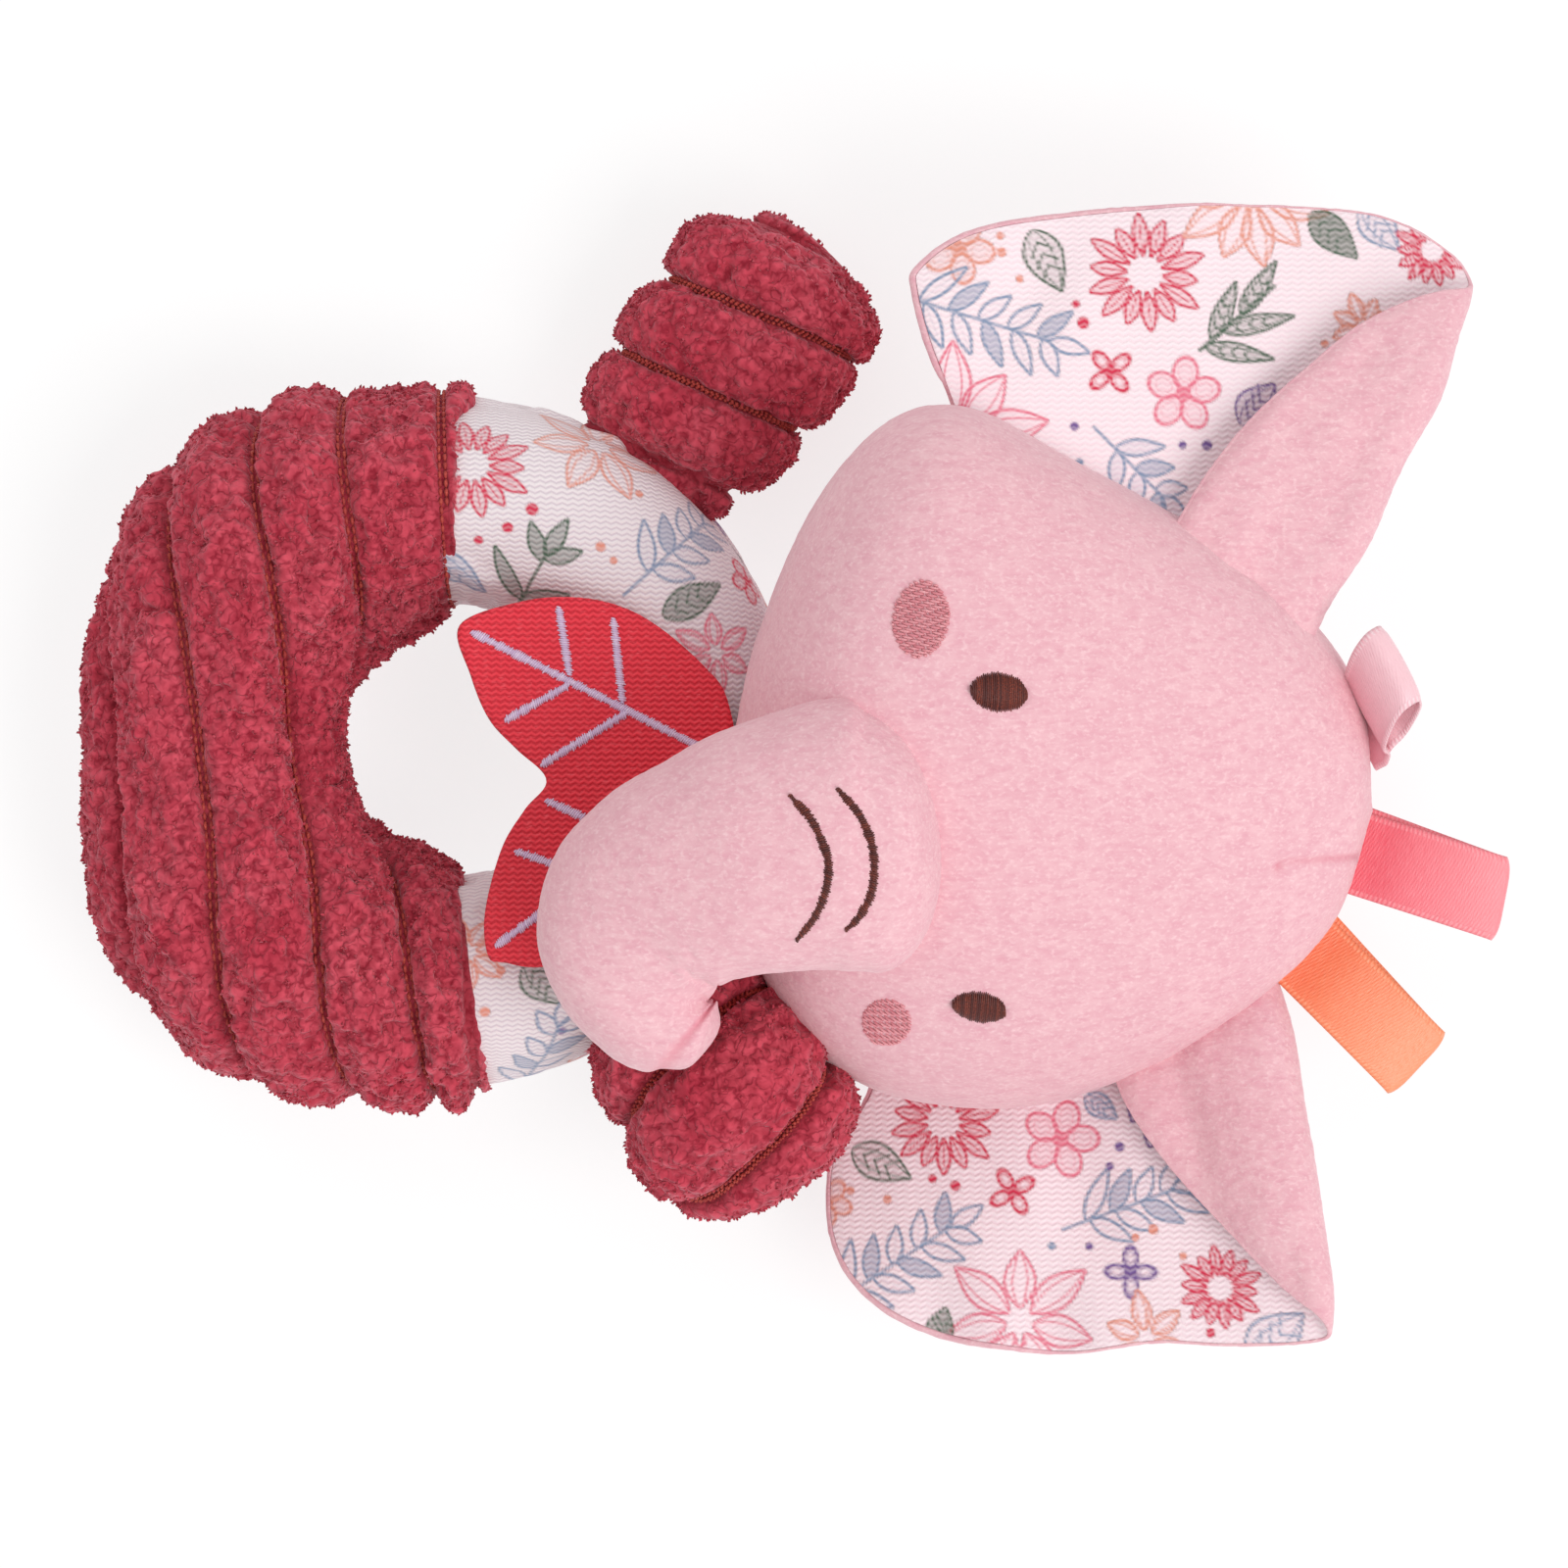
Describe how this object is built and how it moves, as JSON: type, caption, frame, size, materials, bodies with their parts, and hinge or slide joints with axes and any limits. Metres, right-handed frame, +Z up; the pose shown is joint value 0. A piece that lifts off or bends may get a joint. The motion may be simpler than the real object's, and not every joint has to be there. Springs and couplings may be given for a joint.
{
  "type": "plush elephant ring rattle",
  "caption": "Soft baby grab ring with a stuffed elephant head lying on its back: floppy ears, bent trunk, two ribbed arms, two leaves and three ribbon loops, with a rattle inside.",
  "frame": {"origin": "centre of the toy's bounding box, on the surface that the toy lies on", "axes": "+Y from the ring to the top of the head, +Z up out of the face, +X towards the toy's own left ear"},
  "size_m": [0.1404, 0.175, 0.0656],
  "materials": {
    "ribbed_plush": "raspberry ribbed plush, deep curly pile",
    "ring_print": "off-white printed jersey with a floral print and a fine zigzag knit",
    "ear_print": "pinkish white printed jersey with a floral print and a fine zigzag knit",
    "pink_velour": "pale pink short-pile plush, soft and matt",
    "brown_thread": "dark brown satin stitch",
    "pink_thread": "rose satin stitch",
    "lilac_thread": "lilac satin stitch",
    "leaf_twill": "bright red cloth with a woven zigzag",
    "pale_pink_satin": "pale pink satin ribbon",
    "coral_satin": "coral satin ribbon",
    "orange_satin": "orange satin ribbon",
    "stuffing": "white polyester fibre filling",
    "rattle_capsule": "white moulded plastic",
    "rattle_bead": "small hard plastic bead"
  },
  "bodies": {
    "ring_and_head": {"ring_front_plush": "ribbed_plush", "ring_front_print": "ring_print", "ring_back_print": "ring_print", "ring_stuffing": "stuffing", "head_front_panel": "pink_velour", "head_back_panel": "pink_velour", "head_stuffing_front": "stuffing", "head_stuffing_back": "stuffing", "rattle_shell_front": "rattle_capsule", "rattle_shell_back": "rattle_capsule", "eye_right": "brown_thread", "eye_left": "brown_thread", "cheek_right": "pink_thread", "cheek_left": "pink_thread"},
    "trunk": {"trunk_cover": "pink_velour", "trunk_stuffing": "stuffing", "trunk_line_lower": "brown_thread", "trunk_line_upper": "brown_thread"},
    "ear_right": {"ear_right_print": "ear_print", "ear_right_velour": "pink_velour"},
    "ear_left": {"ear_left_print": "ear_print", "ear_left_velour": "pink_velour"},
    "arm_right": {"arm_right_cover": "ribbed_plush", "arm_right_stuffing": "stuffing"},
    "arm_left": {"arm_left_cover": "ribbed_plush", "arm_left_stuffing": "stuffing"},
    "leaves": {"leaf_pair": "leaf_twill", "leaf_right_veins": "lilac_thread", "leaf_left_veins": "lilac_thread"},
    "ribbon_pale_pink": {"ribbon_pale_pink": "pale_pink_satin"},
    "ribbon_coral": {"ribbon_coral": "coral_satin"},
    "ribbon_orange": {"ribbon_orange": "orange_satin"},
    "bead_1": {"rattle_bead_1": "rattle_bead"},
    "bead_2": {"rattle_bead_2": "rattle_bead"},
    "bead_3": {"rattle_bead_3": "rattle_bead"}
  },
  "joints": [
    {"name": "trunk_lift", "type": "hinge", "parent": "ring_and_head", "child": "trunk", "pos_m": [0.0085, 0.00233, 0.0494], "axis": [-1, 0, 0], "range_deg": [-2, 25], "stiffness_Nm_per_rad": 0.02},
    {"name": "ear_right_flap", "type": "hinge", "parent": "ring_and_head", "child": "ear_right", "pos_m": [-0.04239, 0.01969, 0.03725], "axis": [0.457, 0.8858, -0.0802], "range_deg": [-20, 30], "stiffness_Nm_per_rad": 0.01},
    {"name": "ear_left_flap", "type": "hinge", "parent": "ring_and_head", "child": "ear_left", "pos_m": [0.03513, 0.01154, 0.00888], "axis": [0.2299, -0.958, -0.1712], "range_deg": [-5, 16], "stiffness_Nm_per_rad": 0.01},
    {"name": "arm_right_flap", "type": "hinge", "parent": "ring_and_head", "child": "arm_right", "pos_m": [-0.04088, -0.01676, 0.0128], "axis": [0.6018, 0.7986, 0], "range_deg": [-8, 30], "stiffness_Nm_per_rad": 0.01},
    {"name": "arm_left_flap", "type": "hinge", "parent": "ring_and_head", "child": "arm_left", "pos_m": [0.02909, -0.01371, 0.0128], "axis": [0.5446, -0.8387, 0], "range_deg": [-6, 6], "stiffness_Nm_per_rad": 0.01},
    {"name": "leaves_lift", "type": "hinge", "parent": "ring_and_head", "child": "leaves", "pos_m": [-0.0012, -0.00967, 0.02933], "axis": [-1, 0, 0], "range_deg": [0, 6], "stiffness_Nm_per_rad": 0.002},
    {"name": "pale_pink_loop_flop", "type": "hinge", "parent": "ring_and_head", "child": "ribbon_pale_pink", "pos_m": [-0.00961, 0.06667, 0.03299], "axis": [0.8829, 0.4695, 0], "range_deg": [-50, 10], "stiffness_Nm_per_rad": 0.0002},
    {"name": "coral_loop_flop", "type": "hinge", "parent": "ring_and_head", "child": "ribbon_coral", "pos_m": [0.00789, 0.06686, 0.02666], "axis": [0.9397, -0.342, 0], "range_deg": [-45, 60], "stiffness_Nm_per_rad": 0.0002},
    {"name": "orange_loop_flop", "type": "hinge", "parent": "ring_and_head", "child": "ribbon_orange", "pos_m": [0.01871, 0.06198, 0.02256], "axis": [0.682, -0.7314, 0], "range_deg": [-40, 50], "stiffness_Nm_per_rad": 0.0002},
    {"name": "bead_1_jump", "type": "slide", "parent": "ring_and_head", "child": "bead_1", "axis": [0, 0, 1], "range_m": [0, 0.008]},
    {"name": "bead_2_jump", "type": "slide", "parent": "ring_and_head", "child": "bead_2", "axis": [0, 0, 1], "range_m": [0, 0.008]},
    {"name": "bead_3_jump", "type": "slide", "parent": "ring_and_head", "child": "bead_3", "axis": [0, 0, 1], "range_m": [0, 0.008]}
  ]
}
